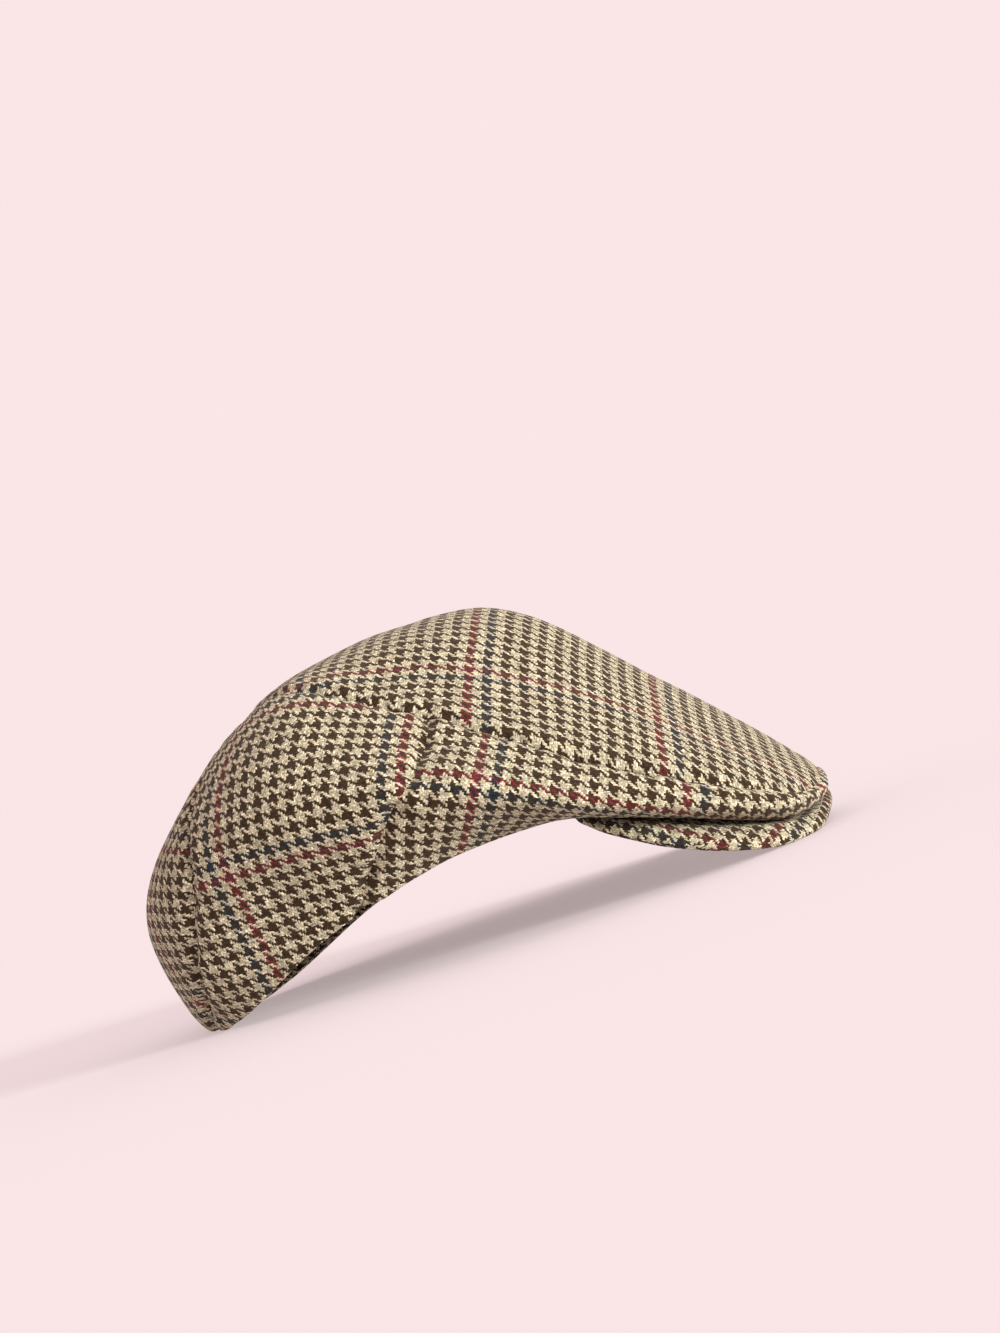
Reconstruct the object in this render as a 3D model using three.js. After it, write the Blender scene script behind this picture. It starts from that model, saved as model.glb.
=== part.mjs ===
// A flat cap in heavy tweed, at rest on its rear rim and the corners of its peak.
// Millimetres, +Z up, the peak points along -Y, and the cap is the same on both sides of X = 0.
// Seven pieces: the top panel, two front side panels, two rear side panels, a back panel and the peak.
// The crown is one smooth surface. A point on it has a turn, the angle round the crown from the
// front in degrees, and a rise, which is 0 at the rim, 6 at the crown's middle, and a whole number
// where the surface passes a named ring. The seams cut that surface into panels.
import * as THREE from "three";
import { mergeVertices } from "three/addons/utils/BufferGeometryUtils.js";

// ---- Driving sizes ----

const HEAD_LENGTH = 202; // outside of the head opening, front to back
const HEAD_WIDTH = 170;
const HEAD_SHIFT = 11; // the head opening sits this far behind the crown's middle
const CROWN_HEIGHT = 119;
const CLOTH = 2;
const PIECE_GAP = 0.3;
const SEAM_DIP = 1.0; // how deep a sewn seam pulls the cloth in
const SEAM_ROLL = 5; // how far from the seam the cloth is level again
const PEAK_THICKNESS = 4.5;
const PEAK_END_THICKNESS = 1.5;
const PEAK_COVERED = 1.4; // the rise up to which the crown's fold covers the peak
const PEAK_GAP = 0.4; // between the peak and the crown's underside at the rim
const PEAK_OPENING = 1.5; // how much wider that gap is under the fold
const PEAK_DROOP = THREE.MathUtils.degToRad(50); // how steeply the free edge points down

// Half of the crown, front to back. Each pair is [how far out, how high] the cloth passes.
const CROWN_ROWS = [
  { turn: 0, rim: 37, tuck: [126, 13.5], side: [136.5, 16.5],
    brow: [132.5, 22.5], dome: [96, 62], top: [42, 115] },
  { turn: 30, rim: 36, tuck: [126, 8], side: [136.5, 11],
    brow: [133, 18.5], dome: [88, 66], top: [42, 112] },
  { turn: 60, rim: 33, tuck: [99, 29.5], side: [115, 30.5],
    brow: [107, 47.5], dome: [69, 84], top: [42, 110] },
  { turn: 90, rim: 32, tuck: [98, 42], side: [107, 57],
    brow: [87, 76], dome: [62, 96], top: [42, 111] },
  { turn: 120, rim: 21, tuck: [98, 38], side: [110, 63],
    brow: [88, 95], dome: [62, 109], top: [42, 113] },
  { turn: 150, rim: 2, tuck: [114, 15], side: [120, 54],
    brow: [86, 91], dome: [61, 106], top: [42, 113] },
  { turn: 180, rim: -1, tuck: [116, 10], side: [119, 44],
    brow: [83, 89], dome: [60, 107], top: [42, 113] },
];

// The rise of the seam round the top panel, front to back.
const TOP_SEAM = [
  { turn: 0, rise: 2.6 },
  { turn: 30, rise: 2.65 },
  { turn: 45, rise: 2.95 },
  { turn: 60, rise: 3.1 },
  { turn: 90, rise: 3.48 },
  { turn: 120, rise: 3.71 },
  { turn: 150, rise: 3.89 },
  { turn: 180, rise: 3.95 },
];

// The turn of the upright seams, from the rim (share 0) up to the top seam (share 1).
const UPRIGHT_SEAMS = [
  { share: 0, side: 112, rear: 163 },
  { share: 0.25, side: 104, rear: 151 },
  { share: 0.5, side: 95, rear: 137 },
  { share: 0.75, side: 89, rear: 148 },
  { share: 1, side: 85, rear: 164 },
];

// Half of the peak's free edge, from its middle to where it runs out at the temple.
const PEAK_ROWS = [
  { turn: 0, edge: [134, 10.5] },
  { turn: 15, edge: [133.5, 8] },
  { turn: 30, edge: [132.5, 2.6] },
  { turn: 45, edge: [123, 8.3] },
  { turn: 54, edge: [110.5, 16.8] },
  { turn: 60, edge: [96, 26.6] },
];

// ---- Curves ----

const RINGS = ["rim", "tuck", "side", "brow", "dome", "top"];
const POLE_RISE = RINGS.length;
const radians = THREE.MathUtils.degToRad;

function fromMiddle(turn, out, up) {
  return new THREE.Vector3(-out * Math.sin(radians(turn)), -out * Math.cos(radians(turn)), up);
}

// How far out the oval head opening is, seen from the crown's middle.
function headOpeningOut(turn) {
  const across = Math.sin(radians(turn)) / (HEAD_WIDTH / 2);
  const along = Math.cos(radians(turn)) / (HEAD_LENGTH / 2);
  const shift = HEAD_SHIFT / (HEAD_LENGTH / 2);
  const a = across ** 2 + along ** 2;
  const b = 2 * along * shift;
  const c = shift ** 2 - 1;
  return (-b + Math.sqrt(b * b - 4 * a * c)) / (2 * a);
}

function ringPoint(row, ring, turn) {
  if (ring === "rim") return fromMiddle(turn, headOpeningOut(turn), row.rim);
  return fromMiddle(turn, row[ring][0], row[ring][1]);
}

// One ring right round the crown: the table's rows, then the same rows mirrored.
function ringCurve(ring) {
  const half = CROWN_ROWS.map((row) => ringPoint(row, ring, row.turn));
  const otherHalf = CROWN_ROWS.slice(1, -1)
    .reverse()
    .map((row) => ringPoint(row, ring, 360 - row.turn));
  return new THREE.CatmullRomCurve3([...half, ...otherHalf], true, "centripetal");
}

const RING_CURVES = RINGS.map(ringCurve);
const POLE = new THREE.Vector3(0, 0, CROWN_HEIGHT);

function onRing(curve, turn) {
  return curve.getPoint((((turn % 360) + 360) % 360) / 360);
}

// The section of the crown at one turn, from the rim over the middle to the far side's top ring.
function sectionCurve(turn) {
  const near = RING_CURVES.map((curve) => onRing(curve, turn));
  const far = onRing(RING_CURVES[POLE_RISE - 1], turn + 180);
  return new THREE.CatmullRomCurve3([...near, POLE, far], false, "centripetal");
}

function crownPoint(turn, rise) {
  return sectionCurve(turn).getPoint(rise / (POLE_RISE + 1));
}

// A table read at any turn or share: a smooth curve through the column's values.
function tableValue(rows, key, column, at) {
  const points = rows.map((row) => new THREE.Vector2(row[key], column(row)));
  const last = points.length - 1;
  let i = 0;
  while (i < last - 1 && at > points[i + 1].x) i += 1;
  const share = (at - points[i].x) / (points[i + 1].x - points[i].x);
  return new THREE.SplineCurve(points).getPoint((i + share) / last).y;
}

// The turn counted from the front on either side, 0 to 180.
function halfTurn(turn) {
  const whole = ((turn % 360) + 360) % 360;
  return Math.min(whole, 360 - whole);
}

const topSeamRise = (turn) => tableValue(TOP_SEAM, "turn", (row) => row.rise, halfTurn(turn));
const sideSeamTurn = (share) => tableValue(UPRIGHT_SEAMS, "share", (row) => row.side, share);
const rearSeamTurn = (share) => tableValue(UPRIGHT_SEAMS, "share", (row) => row.rear, share);

// ---- Cloth ----

const SMALL_TURN = 0.2;
const SMALL_RISE = 0.01;

// The outward normal of the crown, and how many millimetres one degree and one unit of rise are.
function crownFrame(turn, rise) {
  const r = THREE.MathUtils.clamp(rise, SMALL_RISE, POLE_RISE - 2 * SMALL_RISE);
  const alongTurn = crownPoint(turn + SMALL_TURN, r)
    .sub(crownPoint(turn - SMALL_TURN, r))
    .divideScalar(2 * SMALL_TURN);
  const alongRise = crownPoint(turn, r + SMALL_RISE)
    .sub(crownPoint(turn, r - SMALL_RISE))
    .divideScalar(2 * SMALL_RISE);
  const normal = new THREE.Vector3().crossVectors(alongRise, alongTurn).normalize();
  return { normal, perTurn: alongTurn.length(), perRise: alongRise.length() };
}

// A point of the cloth, below the outer face by depth, and flattened where the rim rests.
function clothPoint(turn, rise, depth) {
  const at = rise >= POLE_RISE ? 0 : turn;
  const { normal } = crownFrame(at, rise);
  const point = crownPoint(at, rise).addScaledVector(normal, -depth);
  return point.setZ(Math.max(point.z, 0));
}

// How far the cloth is pulled in at this distance from a seam.
function seamDip(distance) {
  const share = THREE.MathUtils.clamp(1 - distance / SEAM_ROLL, 0, 1);
  return SEAM_DIP * share * share;
}

// The shares that a panel is divided at: even steps, with one more line beside each seam.
function shares(steps, seamAtStart, seamAtEnd, seamShare) {
  const list = [];
  for (let i = 0; i <= steps; i += 1) list.push(i / steps);
  if (seamAtStart) list.push(seamShare);
  if (seamAtEnd) list.push(1 - seamShare);
  return list.sort((p, q) => p - q);
}

const SAME_POINT = 1e-3;

// Triangles as a closed geometry, without the ones whose corners have met, as at the crown's middle.
function geometryOf(triangles) {
  const apart = (p, q) => p.distanceTo(q) > SAME_POINT;
  const open = triangles.filter(([a, b, c]) => apart(a, b) && apart(b, c) && apart(c, a));
  const geometry = mergeVertices(new THREE.BufferGeometry().setFromPoints(open.flat()), SAME_POINT);
  geometry.computeVertexNormals();
  return geometry;
}

function quad(triangles, a, b, c, d) {
  triangles.push([a, b, c], [a, c, d]);
}

// A wall of cloth between two grids of points, closed along its four edges.
// A panel that runs right round has no edges where it meets itself.
function clothWall(outer, inner, runsRound) {
  const triangles = [];
  const rows = outer.length - 1;
  const columns = outer[0].length - 1;
  for (let j = 0; j < rows; j += 1) {
    for (let i = 0; i < columns; i += 1) {
      quad(triangles, outer[j][i], outer[j + 1][i], outer[j + 1][i + 1], outer[j][i + 1]);
      quad(triangles, inner[j][i], inner[j][i + 1], inner[j + 1][i + 1], inner[j + 1][i]);
    }
  }
  for (let i = 0; i < columns; i += 1) {
    quad(triangles, outer[0][i], outer[0][i + 1], inner[0][i + 1], inner[0][i]);
    quad(triangles, outer[rows][i], inner[rows][i], inner[rows][i + 1], outer[rows][i + 1]);
  }
  for (let j = 0; j < rows && !runsRound; j += 1) {
    quad(triangles, outer[j][0], inner[j][0], inner[j + 1][0], outer[j + 1][0]);
    quad(triangles, outer[j][columns], outer[j + 1][columns], inner[j + 1][columns], inner[j][columns]);
  }
  return geometryOf(triangles);
}

const TWEED = { color: 0x8d7a5f, roughness: 0.95, metalness: 0 };

function piece(name, geometry) {
  const mesh = new THREE.Mesh(geometry, new THREE.MeshStandardMaterial(TWEED));
  mesh.name = name;
  return mesh;
}

// ---- Side panels ----

const RISE_STEPS = 12;
const SEAM_LINE = 4; // the line of points beside a seam is this far from it
const PANEL_HEIGHT = 85;
const PANEL_WIDTH = 100;

const mirrored = (seam) => (share) => 360 - seam(share);

const SIDE_PANELS = [
  { name: "side_front_right", start: () => 0, end: sideSeamTurn, steps: 18 },
  { name: "side_back_right", start: sideSeamTurn, end: rearSeamTurn, steps: 10 },
  { name: "back_panel", start: rearSeamTurn, end: mirrored(rearSeamTurn), steps: 10 },
  { name: "side_back_left", start: mirrored(rearSeamTurn), end: mirrored(sideSeamTurn), steps: 10 },
  { name: "side_front_left", start: mirrored(sideSeamTurn), end: () => 360, steps: 18 },
];

function partsRound(steps) {
  return shares(steps, true, true, SEAM_LINE / PANEL_WIDTH);
}

// A panel between two upright seams, from the rim up to the top seam.
function sidePanel({ name, start, end, steps }) {
  const halfGap = PIECE_GAP / 2;
  const slope = (seam, share) => {
    const from = Math.max(share - SMALL_RISE, 0);
    const to = Math.min(share + SMALL_RISE, 1);
    return (seam(to) - seam(from)) / (to - from);
  };
  const grid = (depth) =>
    shares(RISE_STEPS, false, true, SEAM_LINE / PANEL_HEIGHT).map((share) =>
      partsRound(steps).map((part) => {
        const turn = THREE.MathUtils.lerp(start(share), end(share), part);
        const rise = share * topSeamRise(turn);
        const { perTurn, perRise } = crownFrame(turn, rise);
        const lean = THREE.MathUtils.lerp(slope(start, share), slope(end, share), part);
        const slant = Math.hypot(1, (lean * perTurn) / (topSeamRise(turn) * perRise));
        const inTurn = ((1 - 2 * part) * halfGap * slant) / perTurn;
        const inRise = (-share * halfGap) / perRise;
        const fromSeam = Math.min(part, 1 - part) * (end(share) - start(share)) * perTurn;
        const fromTop = (1 - share) * topSeamRise(turn) * perRise;
        const dip = Math.max(seamDip(fromSeam), seamDip(fromTop));
        return clothPoint(turn + inTurn, rise + inRise, depth + dip);
      }),
    );
  return piece(name, clothWall(grid(0), grid(CLOTH), false));
}

// ---- Top panel ----

const TOP_RISE_STEPS = 10;

// It has a point opposite each point of the side panels' upper edges, so that the seam fits.
function topPanel() {
  const turns = SIDE_PANELS.flatMap(({ start, end, steps }) =>
    partsRound(steps)
      .slice(0, -1)
      .map((part) => THREE.MathUtils.lerp(start(1), end(1), part)),
  );
  const grid = (depth) =>
    shares(TOP_RISE_STEPS, true, false, SEAM_LINE / PANEL_WIDTH).map((share) =>
      [...turns, turns[0]].map((turn) => {
        const seam = topSeamRise(turn);
        const rise = THREE.MathUtils.lerp(seam, POLE_RISE, share);
        const { perRise } = crownFrame(turn, rise);
        const inRise = ((1 - share) * (PIECE_GAP / 2)) / perRise;
        const dip = seamDip((rise - seam) * perRise);
        return clothPoint(turn, rise + inRise, depth + dip);
      }),
    );
  return piece("top_panel", clothWall(grid(0), grid(CLOTH), true));
}

// ---- Peak ----

const PEAK_END = PEAK_ROWS[PEAK_ROWS.length - 1].turn;
const PEAK_TURN_STEPS = 36;
const PEAK_COVERED_STEPS = 7;
const PEAK_OPEN_STEPS = 4;
const PEAK_EDGE_STEPS = 4;

// The free edge, mirrored about the middle so that the curve is smooth there.
function peakEdge(turn) {
  const rows = [...PEAK_ROWS.slice(1)].reverse().map((row) => ({ ...row, turn: -row.turn }));
  const both = [...rows, ...PEAK_ROWS];
  const out = tableValue(both, "turn", (row) => row.edge[0], turn);
  const up = tableValue(both, "turn", (row) => row.edge[1], turn);
  return fromMiddle(turn, out, up);
}

// How much of the peak's full shape is left at a turn: all of it in front, nothing at its ends.
const peakShare = (turn) => 1 - (Math.abs(turn) / PEAK_END) ** 4;

// The covered part of the peak's upper face at one turn. It follows the crown's underside from
// the rim and opens away from it towards the fold.
function peakCovered(turn) {
  const points = [];
  for (let i = 0; i <= PEAK_COVERED_STEPS; i += 1) {
    const share = i / PEAK_COVERED_STEPS;
    const rise = share * PEAK_COVERED * peakShare(turn);
    points.push(clothPoint(turn, rise, -PEAK_GAP - PEAK_OPENING * share * share));
  }
  return points;
}

// One section of the peak: the covered face, the face that rolls down from under the fold, the
// rounded free edge and the underside.
function peakSection(turn) {
  const thickness = THREE.MathUtils.lerp(PEAK_END_THICKNESS, PEAK_THICKNESS, peakShare(turn));
  const radius = thickness / 2;
  const out = fromMiddle(turn, 1, 0);
  const middle = peakEdge(turn);
  middle.z -= radius;
  const round = [];
  for (let i = 0; i <= PEAK_EDGE_STEPS; i += 1) {
    const angle = Math.PI / 2 - PEAK_DROOP - Math.PI * (i / PEAK_EDGE_STEPS);
    const point = middle.clone().addScaledVector(out, radius * Math.cos(angle));
    point.z += radius * Math.sin(angle);
    round.push(point);
  }
  const covered = peakCovered(turn);
  const last = covered[PEAK_COVERED_STEPS];
  const drop = Math.max(last.z - round[0].z, 0);
  const reach = round[0].clone().sub(last).dot(out);
  const bend = round[0].clone().addScaledVector(out, -Math.min(drop / Math.tan(PEAK_DROOP), reach));
  bend.z += drop;
  const face = new THREE.QuadraticBezierCurve3(last, bend, round[0]).getPoints(PEAK_OPEN_STEPS);
  const below = covered.slice(0, -1).map((point) => point.clone().setZ(point.z - thickness)).reverse();
  const section = [...covered, ...face.slice(1, -1), ...round, ...below];
  return section.map((point) => point.setZ(Math.max(point.z, 0)));
}

function peak() {
  const triangles = [];
  const sections = [];
  for (let i = 0; i <= PEAK_TURN_STEPS; i += 1) {
    sections.push(peakSection(PEAK_END * ((2 * i) / PEAK_TURN_STEPS - 1)));
  }
  const count = sections[0].length;
  for (let i = 0; i < PEAK_TURN_STEPS; i += 1) {
    for (let k = 0; k < count; k += 1) {
      const next = (k + 1) % count;
      quad(triangles, sections[i][k], sections[i + 1][k], sections[i + 1][next], sections[i][next]);
    }
  }
  const first = sections[0];
  const last = sections[PEAK_TURN_STEPS];
  for (let k = 1; k < count - 1; k += 1) {
    triangles.push([first[0], first[k], first[k + 1]], [last[0], last[k + 1], last[k]]);
  }
  return piece("peak", geometryOf(triangles));
}

// ---- The cap ----

const cap = new THREE.Group();
cap.add(topPanel(), ...SIDE_PANELS.map(sidePanel), peak());

// The origin is on the floor under the middle of the whole cap.
cap.position.y = -new THREE.Box3().setFromObject(cap).getCenter(new THREE.Vector3()).y;

export default cap;
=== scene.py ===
# %% [markdown]
# # A flat cap in houndstooth tweed
# A flat cap is a soft crown, sewn from curved panels of heavy woollen cloth, that is pulled forward
# over a short stiff peak. Here it lies by itself on a pale surface. The fixed model gives the true
# shape of each panel as a wall of cloth. This lesson turns each of them into soft cloth with seams
# that pucker, and weaves the houndstooth thread by thread in the material.

import math

import bmesh
import bpy
import numpy as np
from mathutils import Matrix, Vector, kdtree, noise


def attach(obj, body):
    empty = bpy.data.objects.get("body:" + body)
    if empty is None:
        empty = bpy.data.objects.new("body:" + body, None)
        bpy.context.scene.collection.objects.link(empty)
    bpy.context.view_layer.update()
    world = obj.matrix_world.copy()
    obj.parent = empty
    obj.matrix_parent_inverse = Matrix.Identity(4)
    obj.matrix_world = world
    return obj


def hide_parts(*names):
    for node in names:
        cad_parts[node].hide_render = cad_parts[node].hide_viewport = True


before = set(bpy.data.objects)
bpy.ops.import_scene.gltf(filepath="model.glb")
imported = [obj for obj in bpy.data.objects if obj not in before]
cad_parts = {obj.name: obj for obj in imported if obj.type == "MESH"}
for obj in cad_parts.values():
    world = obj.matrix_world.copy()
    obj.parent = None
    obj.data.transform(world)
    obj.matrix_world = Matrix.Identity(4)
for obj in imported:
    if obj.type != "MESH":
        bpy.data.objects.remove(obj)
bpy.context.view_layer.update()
MM = 0.001
print("pieces of the fixed model:", sorted(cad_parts))

# %% [markdown]
# ## The camera
# The cap is seen from the wearer's right, almost level with it and a little from the front, with
# the camera rolled so that the rear rim hangs low in the picture. A camera could be turned by three
# angles, but aiming it at a point and then rolling it is easier to read and to change.

# %% Camera
CAMERA_PLACE = Vector((-653.4, -32.5, 47.2)) * MM
CAMERA_AIM = Vector((-5.0, -27.0, 92.5)) * MM
CAMERA_ROLL = -19.1
CAMERA_LENS = 46.5

camera = bpy.data.objects.new("camera", bpy.data.cameras.new("camera"))
bpy.context.scene.collection.objects.link(camera)
camera.data.lens = CAMERA_LENS
camera.data.clip_start = 0.01
camera.rotation_mode = "QUATERNION"
camera.location = CAMERA_PLACE
level = (CAMERA_AIM - CAMERA_PLACE).to_track_quat("-Z", "Y")
roll = Matrix.Rotation(math.radians(CAMERA_ROLL), 4, "Z").to_quaternion()
camera.rotation_quaternion = level @ roll
bpy.context.scene.camera = camera
print("camera is", round((CAMERA_AIM - CAMERA_PLACE).length, 3), "m from its aim")

# %% [markdown]
# ## From a wall of triangles to a panel of cloth
# Each panel of the fixed model is a grid of small facets, stored as loose triangles. Modelling the
# panel again from a plane would risk losing its shape, so a copy is taken instead, its corners are
# merged, its triangles are joined in pairs, and a Subdivision Surface modifier rounds it. The faces
# of a wall fall into regions between its sharp edges: the outer face, the inner face and the narrow
# cut edges. Knowing them tells the later steps which way is out.

# %% Copy a panel and find its regions
OUTER, INNER, CUT_EDGE = 0, 1, 2
WALL_ANGLE = math.radians(48)
UNDERSIDE = -0.25  # faces of the peak that look down more steeply than this are its underside
FAN_EDGES = 20  # more edges than this meet only in a pole
MERGE_REACH = 0.02 * MM
GRID_INFLUENCE = 1.6  # pairs triangles so that the quads run on in rows


def select_only(piece):
    """Make the piece the only selected and the active object."""
    bpy.ops.object.select_all(action="DESELECT")
    piece.select_set(True)
    bpy.context.view_layer.objects.active = piece


def fill_pole(piece):
    """A fan of thin faces, as at the crown's middle, gives way to a small even grid."""
    bpy.ops.mesh.select_all(action="DESELECT")
    mesh = bmesh.from_edit_mesh(piece.data)
    pole = max(mesh.verts, key=lambda vert: len(vert.link_edges))
    fan = len(pole.link_edges)
    if fan <= FAN_EDGES:
        return False
    bmesh.ops.delete(mesh, geom=[pole], context="VERTS")
    for edge in mesh.edges:
        edge.select = edge.is_boundary
    bmesh.update_edit_mesh(piece.data)
    bpy.ops.mesh.fill_grid(span=fan // 4)
    return True


def soft_copy(node, name):
    """A free copy of a fixed panel, in quads instead of loose triangles."""
    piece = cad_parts[node].copy()
    piece.data = piece.data.copy()
    piece.name = name
    piece.parent = None
    for key in list(piece.keys()):
        del piece[key]
    bpy.context.scene.collection.objects.link(piece)
    piece.data.materials.clear()
    select_only(piece)
    bpy.ops.object.mode_set(mode="EDIT")
    bpy.ops.mesh.select_all(action="SELECT")
    bpy.ops.mesh.remove_doubles(threshold=MERGE_REACH)
    bpy.ops.mesh.select_mode(type="EDGE")
    while fill_pole(piece):
        print(name, "has a pole filled")
    bpy.ops.mesh.select_all(action="SELECT")
    bpy.ops.mesh.tris_convert_to_quads(
        face_threshold=math.pi, shape_threshold=math.pi, topology_influence=GRID_INFLUENCE
    )
    bpy.ops.object.mode_set(mode="OBJECT")
    return piece


def flood(mesh, crosses):
    """Groups of faces joined by edges that pass the test, the largest in area first."""
    groups, seen = [], set()
    for start in mesh.faces:
        if start.index in seen:
            continue
        group, queue = [], [start]
        seen.add(start.index)
        while queue:
            face = queue.pop()
            group.append(face)
            for edge in filter(crosses, face.edges):
                for other in edge.link_faces:
                    if other.index not in seen:
                        seen.add(other.index)
                        queue.append(other)
        groups.append(group)
    return sorted(groups, key=lambda faces: -sum(face.calc_area() for face in faces))


def mark_regions(piece, has_underside):
    """Write each face's region, and mark the map's seams on the edges between regions."""
    mesh = bmesh.new()
    mesh.from_mesh(piece.data)
    layer = mesh.faces.layers.int.new("region")
    groups = flood(mesh, lambda edge: edge.calc_face_angle(0) < WALL_ANGLE)
    for region, faces in enumerate(groups):
        for face in faces:
            face[layer] = min(region, CUT_EDGE)
            if has_underside and region == OUTER:
                face[layer] = INNER if face.normal.z < UNDERSIDE else OUTER
            elif has_underside:
                face[layer] = CUT_EDGE
    for edge in mesh.edges:
        sides = [face[layer] for face in edge.link_faces]
        edge.seam = sides[0] != sides[1] and (INNER in sides or has_underside)
        if sides == [CUT_EDGE, CUT_EDGE] and edge.calc_face_angle(0) > WALL_ANGLE:
            edge.seam = True
    marks = [face[layer] for face in mesh.faces]
    counts = [marks.count(region) for region in (OUTER, INNER, CUT_EDGE)]
    print(piece.name, "outer, inner and cut edge faces:", counts)
    mesh.to_mesh(piece.data)
    mesh.free()


PANELS = ["top_panel", "side_front_right", "side_front_left", "side_back_right", "side_back_left"]
PANELS += ["back_panel"]
cloth = {}
for node in PANELS + ["peak"]:
    cloth[node] = soft_copy(node, "tweed_" + node)
    mark_regions(cloth[node], has_underside=node == "peak")

# %% [markdown]
# ## Cutting the pattern on the grain
# Houndstooth only looks right if each panel carries it as cloth does: flat, unstretched and at its
# real size, then bent over the head. A projection from one side would smear it on the curves. So
# each panel is unwrapped like a paper pattern, with as little stretch as possible, and its map is
# scaled to millimetres. A panel is then turned so that its grain lies as it was cut, and slid so
# that the coloured lines of the overcheck fall in their places. The top panel is also stretched
# over the forehead when the cap is shaped, which bows its cross threads: its map is bowed to match,
# from nothing over the crown to its full size at the front, and with the square of the way sideways.

# %% Unwrap each panel at its real size
GRAIN = {
    "top_panel": {"lay": (-1, 0, 0), "turn": 0, "warp": 0.5, "weft": 15},
    "side_front_right": {"lay": (0, 0, -1), "turn": -20.5, "warp": -13.5, "weft": -4.5},
    "side_front_left": {"lay": (0, 0, 1), "turn": 20.5, "warp": 13.5, "weft": -4.5},
    "side_back_right": {"lay": (0, 0, 1), "turn": -5, "warp": -16.5, "weft": 14},
    "side_back_left": {"lay": (0, 0, 1), "turn": 5, "warp": -16.5, "weft": -14},
    "back_panel": {"lay": (0, 0, 1), "turn": 0, "warp": 10, "weft": -53},
    "peak": {"lay": (-1, 0, 0), "turn": 0, "warp": 33, "weft": 16.5},
}
BOW = {"top_panel": 4}  # in mm, as are all the map's sizes
BOW_SIDE, BOW_START, BOW_END = 60, -5, 45
UNWRAP_STEPS = 40


def unwrap(piece):
    """Lay the panel out flat, with as little stretch as possible."""
    piece.data.uv_layers.new(name="cloth")
    select_only(piece)
    bpy.ops.object.mode_set(mode="EDIT")
    bpy.ops.mesh.select_mode(type="FACE")
    bpy.ops.mesh.select_all(action="SELECT")
    bpy.ops.uv.unwrap(method="MINIMUM_STRETCH", iterations=UNWRAP_STEPS, fill_holes=False)
    bpy.ops.object.mode_set(mode="OBJECT")


def read_map(piece):
    """Position, map point and region of each face corner, and the face areas in both."""
    data = piece.data
    uv = np.zeros(len(data.loops) * 2)
    data.uv_layers["cloth"].data.foreach_get("uv", uv)
    uv = uv.reshape(-1, 2)
    corner_vertex = np.array([loop.vertex_index for loop in data.loops])
    place = np.array([vertex.co for vertex in data.vertices])[corner_vertex] / MM
    region = np.zeros(len(data.loops), int)
    areas = {OUTER: [0, 0], INNER: [0, 0], CUT_EDGE: [0, 0]}
    marks = data.attributes["region"].data
    for face in data.polygons:
        loops = list(face.loop_indices)
        side = marks[face.index].value
        region[loops] = side
        x, y = uv[loops].T
        areas[side][0] += face.area / MM**2
        areas[side][1] += abs((x * np.roll(y, -1) - y * np.roll(x, -1)).sum() / 2)
    return uv, place, region, areas


def lay_on_grain(piece, grain, bow):
    """Scale the map to millimetres, and turn it so that the warp count runs along the lay."""
    uv, place, region, areas = read_map(piece)
    for side, members, hand in ((OUTER, region != INNER, 1), (INNER, region == INNER, -1)):
        pick = region == side
        scale = math.sqrt(areas[side][0] / areas[side][1])
        middle = uv[pick].mean(axis=0) * scale
        around = place[pick] - place[pick].mean(axis=0)
        slope = np.linalg.lstsq(around, uv[pick] * scale - middle, rcond=None)[0]
        lay = np.array(grain["lay"]) @ slope
        angle = math.atan2(lay[1], lay[0]) + hand * math.radians(grain["turn"])
        turn = np.array([[math.cos(angle), -math.sin(angle)], [math.sin(angle), math.cos(angle)]])
        offset = np.array([grain["warp"], hand * grain["weft"]])
        uv[members] = (uv[members] * scale - middle) @ turn - offset
        print(piece.name, "side", side, "is", [round(v) for v in np.ptp(uv[pick], axis=0)], "mm")
        bowed = np.clip((uv[members, 1] + offset[1] - BOW_START) / (BOW_END - BOW_START), 0, 1)
        sideways = (uv[members, 0] + offset[0]) / BOW_SIDE
        uv[members, 1] -= bow * bowed * sideways**2
    piece.data.uv_layers["cloth"].data.foreach_set("uv", uv.ravel())


for node in GRAIN:
    unwrap(cloth[node])
    lay_on_grain(cloth[node], GRAIN[node], BOW.get(node, 0))

# %% [markdown]
# ## Where the panels are sewn
# The steps that follow need to know where the seams are. They could be listed by hand, but a seam is
# simply where the borders of two panels run side by side. So points are taken along every panel's
# border, and those with another panel's points within reach are on a seam.

# %% Find the seams
SEWN_REACH = 2.0 * MM
SAMPLE_STEP = 1.0 * MM


def border_edges(piece):
    """The edges between a panel's outer face and its cut edge."""
    mesh = bmesh.new()
    mesh.from_mesh(piece.data)
    layer = mesh.faces.layers.int["region"]
    edges = []
    for edge in mesh.edges:
        if {face[layer] for face in edge.link_faces} == {OUTER, CUT_EDGE}:
            edges.append((edge.verts[0].co.copy(), edge.verts[1].co.copy()))
    mesh.free()
    return edges


def tree_of(points):
    """A tree that finds the points near a place."""
    tree = kdtree.KDTree(len(points))
    for index, point in enumerate(points):
        tree.insert(point, index)
    tree.balance()
    return tree


samples, owners = [], []
for node, piece in cloth.items():
    for start, end in border_edges(piece):
        count = max(1, round((end - start).length / SAMPLE_STEP))
        for step in range(count):
            samples.append(start.lerp(end, step / count))
            owners.append(node)
border_tree = tree_of(samples)


def sewn_to_another(point, node):
    """Whether the border of another panel runs by this point."""
    return any(owners[index] != node for _, index, _ in border_tree.find_range(point, SEWN_REACH))


sewn = [point for point, node in zip(samples, owners) if sewn_to_another(point, node)]
seam_tree = tree_of(sewn)
print(len(sewn), "of", len(samples), "border samples are sewn")

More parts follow.
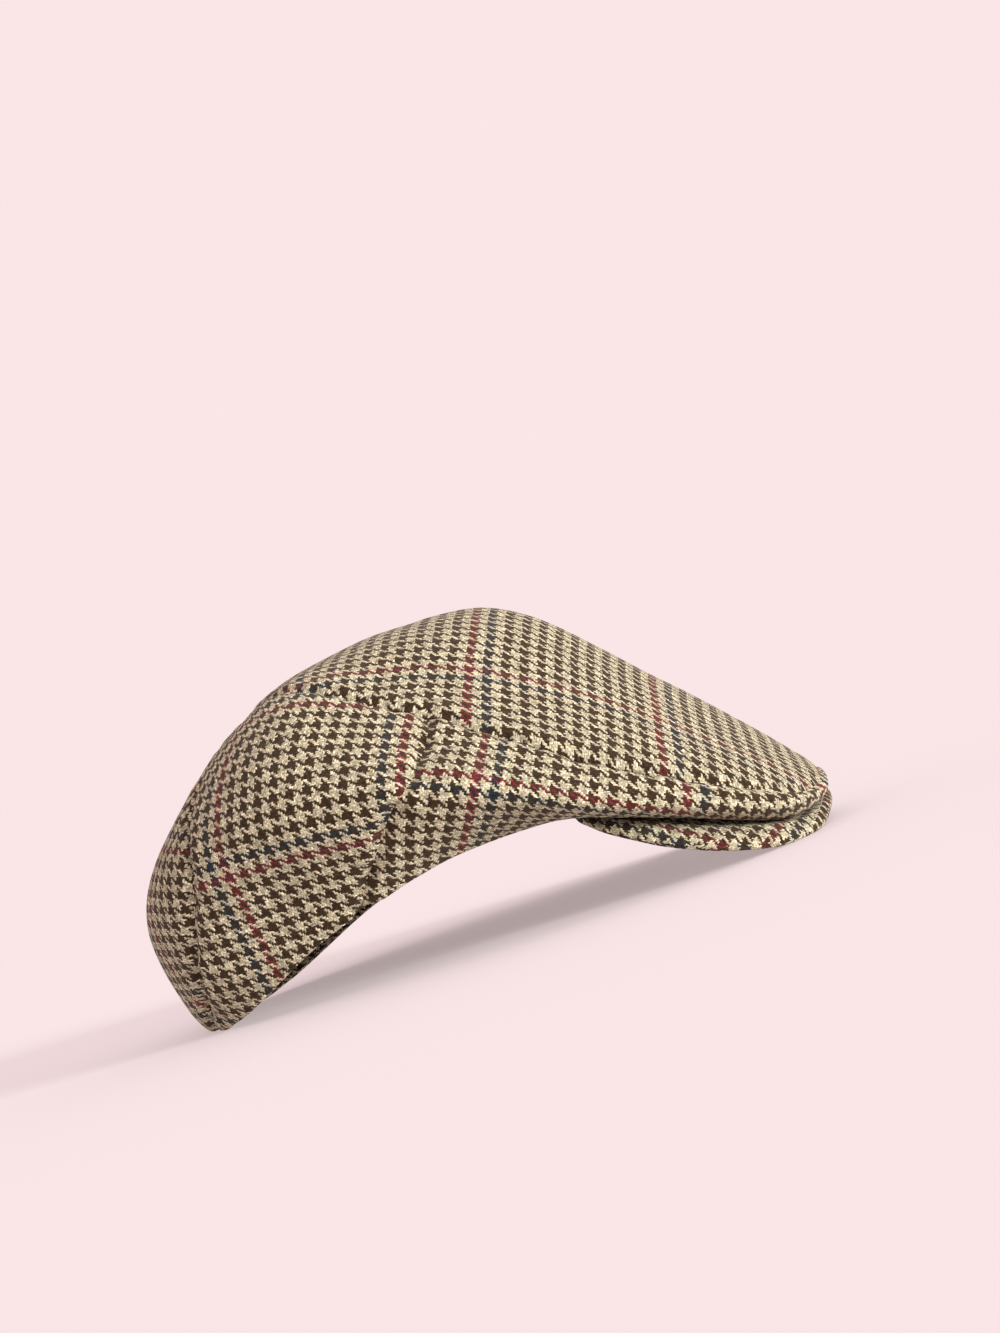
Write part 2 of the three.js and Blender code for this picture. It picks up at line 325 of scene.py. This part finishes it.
# %% [markdown]
# ## Seams that are closed
# Two panels sewn together touch all along the seam. The fixed pieces stop a fraction of a
# millimetre short of each other, and rounding would open that slit further where the seam is curved.
# A bridge of new faces would close it, but would need a map of its own. So each border is first
# drawn halfway to its neighbour and a hair beyond, as the turned-in cloth of a real seam is, and the
# corners of the panels are marked to stay where they are when the rest is rounded.

# %% Close the sewn borders
SEAM_OVERLAP = 0.4 * MM


def close_seams(piece, node):
    """Draw each sewn border to the middle of its seam, and mark the corners to stay sharp."""
    mesh = bmesh.new()
    mesh.from_mesh(piece.data)
    layer = mesh.faces.layers.int["region"]
    corner = mesh.verts.layers.float.new("crease_vert")
    met, moves = {}, {}
    for vertex in mesh.verts:
        if not {OUTER, CUT_EDGE} <= {face[layer] for face in vertex.link_faces}:
            continue
        near = border_tree.find_range(vertex.co, SEWN_REACH)
        met[vertex] = {owners[index] for _, index, _ in near} - {node}
        if met[vertex]:
            places = [place for place, index, _ in near if owners[index] != node]
            meet = min(places, key=lambda place: (place - vertex.co).length)
            faces = [face for face in vertex.link_faces if face[layer] == OUTER]
            middle = sum((face.calc_center_median() for face in faces), Vector()) / len(faces)
            beyond = (vertex.co - middle).normalized() * SEAM_OVERLAP
            moves[vertex] = (meet - vertex.co) / 2 + beyond
    for vertex in met:
        beside = [edge.other_vert(vertex) for edge in vertex.link_edges]
        if any(other in met and met[other] != met[vertex] for other in beside):
            vertex[corner] = 1.0
    for vertex, move in moves.items():
        vertex.co += move
    mesh.to_mesh(piece.data)
    mesh.free()
    print(piece.name, "meets its neighbours at", len(moves), "points")


for node in PANELS:
    close_seams(cloth[node], node)

# %% [markdown]
# ## Rounding the cloth
# A Subdivision Surface modifier smooths the facets. It would also melt the narrow edges of the wall
# and pull neighbouring panels apart, so those edges are creased: nearly sharp where two panels are
# sewn, softer round the open rim, where the cloth is turned in. The modifier is applied, because the
# puckers of the next step move single points.

# %% Crease the borders and subdivide
SEWN_CREASE, RIM_CREASE = 0.75, 0.35
LEVELS = {"top_panel": 2}
SIDE_LEVELS = 3


def round_off(piece, node):
    """Crease the edges of the wall, then subdivide the panel."""
    mesh = bmesh.new()
    mesh.from_mesh(piece.data)
    crease = mesh.edges.layers.float.new("crease_edge")
    layer = mesh.faces.layers.int["region"]
    for edge in mesh.edges:
        sides = {face[layer] for face in edge.link_faces}
        if CUT_EDGE in sides and len(sides) > 1:
            middle = (edge.verts[0].co + edge.verts[1].co) / 2
            near = seam_tree.find(middle)[2] < SEWN_REACH * 2
            edge[crease] = SEWN_CREASE if near else RIM_CREASE
    mesh.to_mesh(piece.data)
    mesh.free()
    rounding = piece.modifiers.new("rounding", "SUBSURF")
    rounding.levels = rounding.render_levels = LEVELS.get(node, SIDE_LEVELS)
    select_only(piece)
    bpy.ops.object.modifier_apply(modifier=rounding.name)
    for face in piece.data.polygons:
        face.use_smooth = True
    print(piece.name, "has", 2 * len(piece.data.polygons), "triangles")


for node, piece in cloth.items():
    round_off(piece, node)

# %% [markdown]
# ## Seams that pucker
# A seam in thick wool is drawn up a little by its thread, so small ridges run out from it on both
# sides and die away within a finger's breadth. Cloth simulation could make them, but not where they
# belong. Here each point of the cloth looks up its nearest point on a seam: noise read there is the
# same all the way across a ridge, and the distance fades it. A slower noise in space adds the soft
# unevenness of worn cloth, and a narrow groove sinks the seam itself. Beside a seam, both panels
# move in one shared direction, the mean of their normals, so that nothing opens. Towards the front,
# where the cloth lies stretched over the stiff peak, the puckers calm down.

# %% Pucker the seams
PUCKER_HEIGHT, PUCKER_REACH, PUCKER_LENGTH = 0.9 * MM, 8 * MM, 7 * MM
SWELL_HEIGHT, SWELL_LENGTH = 0.8 * MM, 42 * MM
GROOVE_DEPTH, GROOVE_WIDTH = 1.5 * MM, 2.0 * MM
CALM_FROM, CALM_TO = -60 * MM, -108 * MM
SEAM_SHARE = 3 * MM
PEAK_SHARE = 0.25  # the stiff peak swells less than the soft crown
LEAST_CALM = 0.15
RIPPLE_HEIGHT, RIPPLE_LENGTH = 0.4, SWELL_LENGTH / 2.6
RIDGE_SEED, SWELL_SEED, RIPPLE_SEED = 3.1, 8.7, 1.9


def wave(point, length, seed):
    """Smooth noise between -1 and 1, with waves about as long as the given length."""
    return noise.noise(Vector((point.x / length + seed, point.y / length, point.z / length - seed)))


def outside_of(piece):
    """Place and normal of each point of the outer face."""
    data = piece.data
    marks = data.attributes["region"].data
    faces = [face for face in data.polygons if marks[face.index].value == OUTER]
    points = [data.vertices[v] for v in sorted({v for face in faces for v in face.vertices})]
    return [(point.co.copy(), point.normal.copy()) for point in points]


outsides = {node: outside_of(piece) for node, piece in cloth.items()}
crown = [spot for node in PANELS for spot in outsides[node]]
crown_tree = tree_of([place for place, _ in crown])
across_seam = []
for point in sewn:
    near = crown_tree.find_range(point, SEAM_SHARE)
    across_seam.append(sum((crown[index][1] for _, index, _ in near), Vector()).normalized())
print("both sides of", len(across_seam), "seam samples share one direction")

# %% Move the cloth
def pucker(piece, share, outside):
    """Move each point along its outward direction by ridge, swell and groove."""
    tree = tree_of([place for place, _ in outside])
    moves = []
    for vertex in piece.data.vertices:
        place = vertex.co
        seam_point, seam_index, reach = seam_tree.find(place)
        own = outside[tree.find(place)[1]][1]
        outward = own.lerp(across_seam[seam_index], math.exp(-reach / SEAM_SHARE)).normalized()
        calm = min(1, max(LEAST_CALM, (seam_point.y - CALM_TO) / (CALM_FROM - CALM_TO)))
        ridge = calm**2 * wave(seam_point, PUCKER_LENGTH, RIDGE_SEED)
        ridge *= math.exp(-reach / PUCKER_REACH)
        swell = wave(place, SWELL_LENGTH, SWELL_SEED)
        swell += RIPPLE_HEIGHT * wave(place, RIPPLE_LENGTH, RIPPLE_SEED)
        groove = math.exp(-((reach / GROOVE_WIDTH) ** 2))
        height = 2 * PUCKER_HEIGHT * ridge + share * SWELL_HEIGHT * swell
        height -= GROOVE_DEPTH * calm * groove
        moves.append(outward * height)
    for vertex, move in zip(piece.data.vertices, moves):
        vertex.co += move
        vertex.co.z = max(vertex.co.z, 0.0)
    print(piece.name, "moves up to", round(max(move.length for move in moves) / MM, 2), "mm")


for node, piece in cloth.items():
    pucker(piece, PEAK_SHARE if node == "peak" else 1.0, outsides[node])

# %% [markdown]
# ## The tweed
# The cloth is a woollen houndstooth with an overcheck. Its pattern isn't printed: it comes from
# weaving four dark and four light threads by turns, both ways, in a 2/2 twill, where each thread
# passes over two and under two and every row steps one thread aside. So the material weaves it:
# it counts threads both ways, asks which one is on top, and takes that thread's colour. Every
# eleventh dark group is dyed red and the one after it navy, which draws the windowpane check.

# %% Colours and a node helper
WARP_THREAD, WEFT_THREAD = 0.68, 0.76
GROUP = 4
WINDOW_GROUPS = 11
STRAW, MILK = "#B0A57B", "#B3AF9E"
BROWN, RED, NAVY = "#332412", "#612124", "#1A262D"


def linear(hex_colour):
    """An sRGB hex colour as the linear red, green, blue and alpha that a shader takes."""
    values = [int(hex_colour[i : i + 2], 16) / 255 for i in (1, 3, 5)]
    return (*[v / 12.92 if v <= 0.04045 else ((v + 0.055) / 1.055) ** 2.4 for v in values], 1.0)


def add_node(tree, kind, sockets=None, **settings):
    """One node: settings are its properties, sockets are values, or nodes and outputs to link."""
    made = tree.nodes.new(kind)
    for name, value in settings.items():
        setattr(made, name, value)
    for name, value in (sockets or {}).items():
        if isinstance(value, bpy.types.Node):
            value = value.outputs[0]
        if isinstance(value, bpy.types.NodeSocket):
            tree.links.new(value, made.inputs[name])
        else:
            made.inputs[name].default_value = value
    return made


def new_material(name):
    """A material with an empty node tree."""
    material = bpy.data.materials.new(name)
    material.use_nodes = True
    material.node_tree.nodes.clear()
    return material, material.node_tree


tweed, tree = new_material("woollen houndstooth tweed")
print("a check is", round(WARP_THREAD * GROUP * 2, 1), "by", round(WEFT_THREAD * GROUP * 2, 1), "mm")

# %% [markdown]
# The map of each panel is in millimetres. A wool thread isn't quite straight, so the map is first
# bent by three noises: a slow one, as the cloth gives, a quicker one, as the yarn wanders, and a
# fine one, as loose hairs blur where one colour meets the next.

# %% Bend the map and count the threads
GIVE, WANDER, RAGGED = 1.4, 1.1, 0.9  # mm from end to end
GIVE_SCALE, WANDER_SCALE, RAGGED_SCALE = 0.045, 0.55, 2.0  # waves per mm

cloth_map = add_node(tree, "ShaderNodeUVMap", uv_map="cloth")
slow = add_node(tree, "ShaderNodeTexNoise", {"Vector": cloth_map, "Scale": GIVE_SCALE, "Detail": 1.0})
quick = add_node(tree, "ShaderNodeTexNoise", {"Vector": cloth_map, "Scale": WANDER_SCALE, "Detail": 2.0})
hairs = add_node(tree, "ShaderNodeTexNoise", {"Vector": cloth_map, "Scale": RAGGED_SCALE, "Detail": 2.0})
bent = cloth_map
for bend, size in ((slow, GIVE), (quick, WANDER), (hairs, RAGGED)):
    centred = {0: bend.outputs["Color"], 1: (0.5, 0.5, 0.5)}
    centred = add_node(tree, "ShaderNodeVectorMath", centred, operation="SUBTRACT")
    bent = {0: centred, 1: (size, size, 0), 2: bent}
    bent = add_node(tree, "ShaderNodeVectorMath", bent, operation="MULTIPLY_ADD")
threads = {0: bent, 1: (1 / WARP_THREAD, 1 / WEFT_THREAD, 0)}
threads = add_node(tree, "ShaderNodeVectorMath", threads, operation="MULTIPLY")
counts = add_node(tree, "ShaderNodeVectorMath", {0: threads}, operation="FLOOR")
parts = add_node(tree, "ShaderNodeVectorMath", {0: threads}, operation="FRACTION")
count = add_node(tree, "ShaderNodeSeparateXYZ", {0: counts})
part = add_node(tree, "ShaderNodeSeparateXYZ", {0: parts})
print("a thread wanders by up to", WANDER / 2, "mm")

# %% [markdown]
# Warp thread i lies over weft thread j where (i - j) mod 4 is 0 or 1. A thread's dye depends on its
# own count alone. Yarn also varies from thread to thread, so a random number for each thread makes
# it a little lighter or darker, and stretched noise gives it the streaks of its fibres. The undyed
# wool is spun from straw-coloured and milky fleeces, so its cream drifts between the two.

# %% Dye the threads
TWILL = 4
YARN_CHANGE, FIBRE_POWER = 0.2, 1.8
TINT_SCALE = 0.35  # waves per mm
WARP_FIBRES, WEFT_FIBRES = (0.7, 0.3, 0), (0.3, 0.7, 5.0)  # waves per thread, and a seed

tint = add_node(tree, "ShaderNodeTexNoise", {"Vector": cloth_map, "Scale": TINT_SCALE, "Detail": 3.0})
cream = {"Factor": tint, 6: linear(STRAW), 7: linear(MILK)}
cream = add_node(tree, "ShaderNodeMix", cream, data_type="RGBA").outputs[2]


def dyed(thread_count, fibre_stretch):
    """The colour of one set of threads from their count, with the changes of yarn and fibre."""
    group = add_node(tree, "ShaderNodeMath", {0: thread_count, 1: GROUP}, operation="DIVIDE")
    group = add_node(tree, "ShaderNodeMath", {0: group}, operation="FLOOR")
    light = add_node(tree, "ShaderNodeMath", {0: group, 1: 2}, operation="FLOORED_MODULO")
    pair = add_node(tree, "ShaderNodeMath", {0: group, 1: 2}, operation="DIVIDE")
    pair = add_node(tree, "ShaderNodeMath", {0: pair}, operation="FLOOR")
    window = add_node(tree, "ShaderNodeMath", {0: pair, 1: WINDOW_GROUPS}, operation="FLOORED_MODULO")
    red = add_node(tree, "ShaderNodeMath", {0: window, 1: 0, 2: 0.5}, operation="COMPARE")
    navy = add_node(tree, "ShaderNodeMath", {0: window, 1: 1, 2: 0.5}, operation="COMPARE")
    colour = linear(BROWN)
    for chosen, dye in ((red, linear(RED)), (navy, linear(NAVY)), (light, cream)):
        mix = {"Factor": chosen, 6: colour, 7: dye}
        colour = add_node(tree, "ShaderNodeMix", mix, data_type="RGBA").outputs[2]
    yarn = add_node(tree, "ShaderNodeTexWhiteNoise", {"W": thread_count}, noise_dimensions="1D")
    streaks = {0: threads, 1: fibre_stretch}
    streaks = add_node(tree, "ShaderNodeVectorMath", streaks, operation="MULTIPLY")
    fibres = {"Vector": streaks, "Scale": 1.0, "Detail": 2.0}
    fibres = add_node(tree, "ShaderNodeTexNoise", fibres)
    uneven = add_node(tree, "ShaderNodeMath", {0: fibres, 1: 2}, operation="MULTIPLY")
    uneven = add_node(tree, "ShaderNodeMath", {0: uneven, 1: FIBRE_POWER}, operation="POWER")
    shade = {0: yarn, 1: YARN_CHANGE, 2: 1 - YARN_CHANGE / 2}
    shade = add_node(tree, "ShaderNodeMath", shade, operation="MULTIPLY_ADD")
    shade = add_node(tree, "ShaderNodeMath", {0: shade, 1: uneven}, operation="MULTIPLY")
    return add_node(tree, "ShaderNodeVectorMath", {0: colour, "Scale": shade}, operation="SCALE")


warp_colour = dyed(count.outputs["X"], WARP_FIBRES)
weft_colour = dyed(count.outputs["Y"], WEFT_FIBRES)
step = {0: count.outputs["X"], 1: count.outputs["Y"]}
step = add_node(tree, "ShaderNodeMath", step, operation="SUBTRACT")
step = add_node(tree, "ShaderNodeMath", {0: step, 1: TWILL}, operation="FLOORED_MODULO")
warp_on_top = add_node(tree, "ShaderNodeMath", {0: step, 1: TWILL / 2 - 0.5}, operation="LESS_THAN")
woven = {"Factor": warp_on_top, 6: weft_colour.outputs[0], 7: warp_colour.outputs[0]}
woven = add_node(tree, "ShaderNodeMix", woven, data_type="RGBA").outputs[2]
print("the dyes are", STRAW, MILK, BROWN, RED, NAVY)

# %% [markdown]
# A thread on top is a little bolster: round across, and dipping at both ends of its float, where it
# goes under. That height drives the bump. It also darkens the base colour in the gaps between
# threads, which paints in the shade that falls there. Wool is rough and scatters light from a halo of
# fibres, which a Principled shader gives as sheen.

# %% Thread relief, painted shade in the gaps and the wool's finish
THREAD_RELIEF = 0.22 * MM
# how much shade is painted into the base colour where threads dip into the gaps between them
GAP_SHADE = 0.6
FUZZ_SCALE, FUZZ_SHARE = 1.3, 0.8


def bolster(position):
    """1 in the middle of a thread or float and 0 at its borders."""
    centred = add_node(tree, "ShaderNodeMath", {0: position, 1: 2, 2: -1}, operation="MULTIPLY_ADD")
    square = add_node(tree, "ShaderNodeMath", {0: centred, 1: centred}, operation="MULTIPLY")
    return add_node(tree, "ShaderNodeMath", {0: 1, 1: square}, operation="SUBTRACT")


across = {"Factor": warp_on_top, 2: part.outputs["Y"], 3: part.outputs["X"]}
across = add_node(tree, "ShaderNodeMix", across)
warp_float = add_node(tree, "ShaderNodeMath", {0: 1, 1: step}, operation="SUBTRACT")
warp_float = add_node(tree, "ShaderNodeMath", {0: warp_float, 1: part.outputs["Y"]}, operation="ADD")
weft_float = add_node(tree, "ShaderNodeMath", {0: step, 1: 2}, operation="SUBTRACT")
weft_float = add_node(tree, "ShaderNodeMath", {0: weft_float, 1: part.outputs["X"]}, operation="ADD")
along = add_node(tree, "ShaderNodeMix", {"Factor": warp_on_top, 2: weft_float, 3: warp_float})
along = add_node(tree, "ShaderNodeMath", {0: along, 1: 2}, operation="DIVIDE")
relief = {0: bolster(across), 1: bolster(along)}
relief = add_node(tree, "ShaderNodeMath", relief, operation="MULTIPLY")
fuzz = add_node(tree, "ShaderNodeTexNoise", {"Vector": cloth_map, "Scale": FUZZ_SCALE, "Detail": 4.0})
height = add_node(tree, "ShaderNodeMath", {0: fuzz, 1: FUZZ_SHARE, 2: relief}, operation="MULTIPLY_ADD")
# painted shade: the base colour is darkened where the threads dip into the gaps between them
painted_gap_shade = {0: relief, 1: GAP_SHADE, 2: 1 - GAP_SHADE / 2}
painted_gap_shade = add_node(tree, "ShaderNodeMath", painted_gap_shade, operation="MULTIPLY_ADD")
woven_with_painted_shade = add_node(tree, "ShaderNodeVectorMath", {0: woven, "Scale": painted_gap_shade}, operation="SCALE")
bump = {"Height": height, "Distance": THREAD_RELIEF, "Strength": 0.8}
bump = add_node(tree, "ShaderNodeBump", bump)
wool = {"Base Color": woven_with_painted_shade, "Normal": bump, "Roughness": 0.9, "Specular IOR Level": 0.15}
wool.update({"Sheen Weight": 0.12, "Sheen Roughness": 0.5, "Sheen Tint": linear("#E8DCC8")})
wool = add_node(tree, "ShaderNodeBsdfPrincipled", wool)
add_node(tree, "ShaderNodeOutputMaterial", {"Surface": wool})
for node, piece in cloth.items():
    piece.data.materials.clear()
    piece.data.materials.append(tweed)
    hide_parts(node)
    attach(piece, "root")
print(tweed.name, "is on", len(cloth), "pieces")

# %% [markdown]
# ## The pale room
# A seamless backdrop shows no corner and no horizon. Bending a sheet up behind the cap would do, but
# a flat floor that is exactly as bright as the world around it does the same with nothing to see
# from other sides. It is a sheet of frosted glass lit faintly from below, as on a light table, which
# keeps the shadow pale. What it glows, and what it returns of the light of the world and the sun,
# have to add up to the world's own colour, and its own colour is worked out from that. A low, wide
# sun, like a big window, lights the side and the peak and softens the shadow.

# %% Floor and light
PINK = "#FAE5E7"
SUN_WAY = Vector((0.6, 0.78, -0.17)).normalized()
SUN_STRENGTH, SUN_ANGLE = 4.0, 20
GLOW = 0.4
FLOOR_SIZE = 60
FLOOR_DROP = 0.05 * MM

sun = bpy.data.objects.new("low_sun", bpy.data.lights.new("low_sun", "SUN"))
sun.data.energy = SUN_STRENGTH
sun.data.angle = math.radians(SUN_ANGLE)
sun.rotation_mode = "QUATERNION"
sun.rotation_quaternion = SUN_WAY.to_track_quat("-Z", "Y")
bpy.context.scene.collection.objects.link(sun)

world = bpy.data.worlds.new("pale_room")
world.use_nodes = True
world.node_tree.nodes.clear()
backdrop = add_node(world.node_tree, "ShaderNodeBackground", {"Color": linear(PINK)})
add_node(world.node_tree, "ShaderNodeOutputWorld", {"Surface": backdrop})
bpy.context.scene.world = world
bpy.context.scene.view_settings.view_transform = "Standard"

from_sun = SUN_STRENGTH * -SUN_WAY.z / math.pi
floor_colour = [(1 - GLOW) * value / (value + from_sun) for value in linear(PINK)[:3]]
bpy.ops.object.select_all(action="DESELECT")
bpy.ops.mesh.primitive_plane_add(size=FLOOR_SIZE, location=(0, 0, -FLOOR_DROP))
floor = bpy.context.active_object
floor.name = "floor"
glass, glass_tree = new_material("frosted glass of a light table")
matt = {"Base Color": (*floor_colour, 1), "Roughness": 1.0, "Specular IOR Level": 0.0}
matt.update({"Emission Color": linear(PINK), "Emission Strength": GLOW})
matt = add_node(glass_tree, "ShaderNodeBsdfPrincipled", matt)
add_node(glass_tree, "ShaderNodeOutputMaterial", {"Surface": matt})
floor.data.materials.append(glass)
print("the floor gives back", [round(value, 2) for value in floor_colour])
